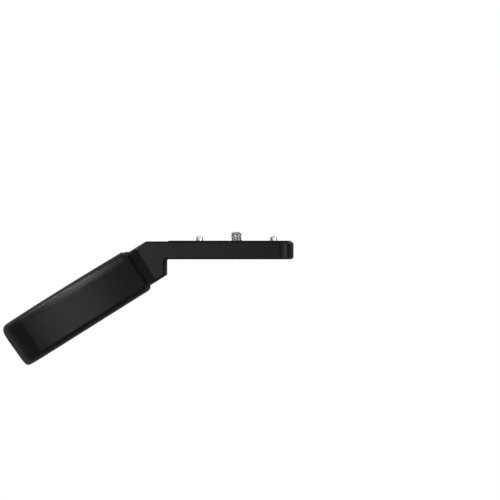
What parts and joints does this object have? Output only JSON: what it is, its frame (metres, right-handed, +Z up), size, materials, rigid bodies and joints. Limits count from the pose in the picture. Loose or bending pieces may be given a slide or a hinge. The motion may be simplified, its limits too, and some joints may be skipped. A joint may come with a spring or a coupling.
{
  "type": "flash handle",
  "caption": "Bent hand grip with a flat mounting block that is clamped under a portable flash head by a captive coupling screw, with a seat for a stand adapter below.",
  "frame": {"origin": "on the axis of the coupling screw, in the plane of the upper seat that the flash head's foot rests on", "axes": "+Z up along the coupling screw, +X to the front of the flash head, away from the grip, +Y across the block"},
  "size_m": [0.1558, 0.0474, 0.0713],
  "materials": {
    "bracket_coat": "satin black, slightly pebbled",
    "pad_rubber": "matte",
    "grip_rubber": "matte, soft touch",
    "steel": "turned and polished",
    "spring_steel": "oiled",
    "slip_nylon": "natural nylon",
    "core_plastic": "moulded, fine texture",
    "brass": "machined"
  },
  "bodies": {
    "handle": {"bracket": "bracket_coat", "seat_pad": "pad_rubber", "locating_pin_front": "steel", "locating_pin_rear": "steel", "grip_core_left": "core_plastic", "grip_core_right": "core_plastic", "core_screw_1": "steel", "core_screw_2": "steel", "core_screw_3": "steel", "core_screw_4": "steel", "core_nut_1": "brass", "core_nut_2": "brass", "core_nut_3": "brass", "core_nut_4": "brass", "grip_sleeve": "grip_rubber"},
    "clip": {"retaining_clip": "spring_steel", "thrust_washer": "slip_nylon"},
    "screw": {"coupling_screw": "steel"}
  },
  "joints": [
    {"name": "coupling_float", "type": "slide", "parent": "handle", "child": "clip", "axis": [0, 0, 1], "range_m": [-0.0005, 0]},
    {"name": "coupling_turn", "type": "hinge", "parent": "clip", "child": "screw", "pos_m": [0, 0, 0], "axis": [0, 0, 1], "continuous": true}
  ]
}
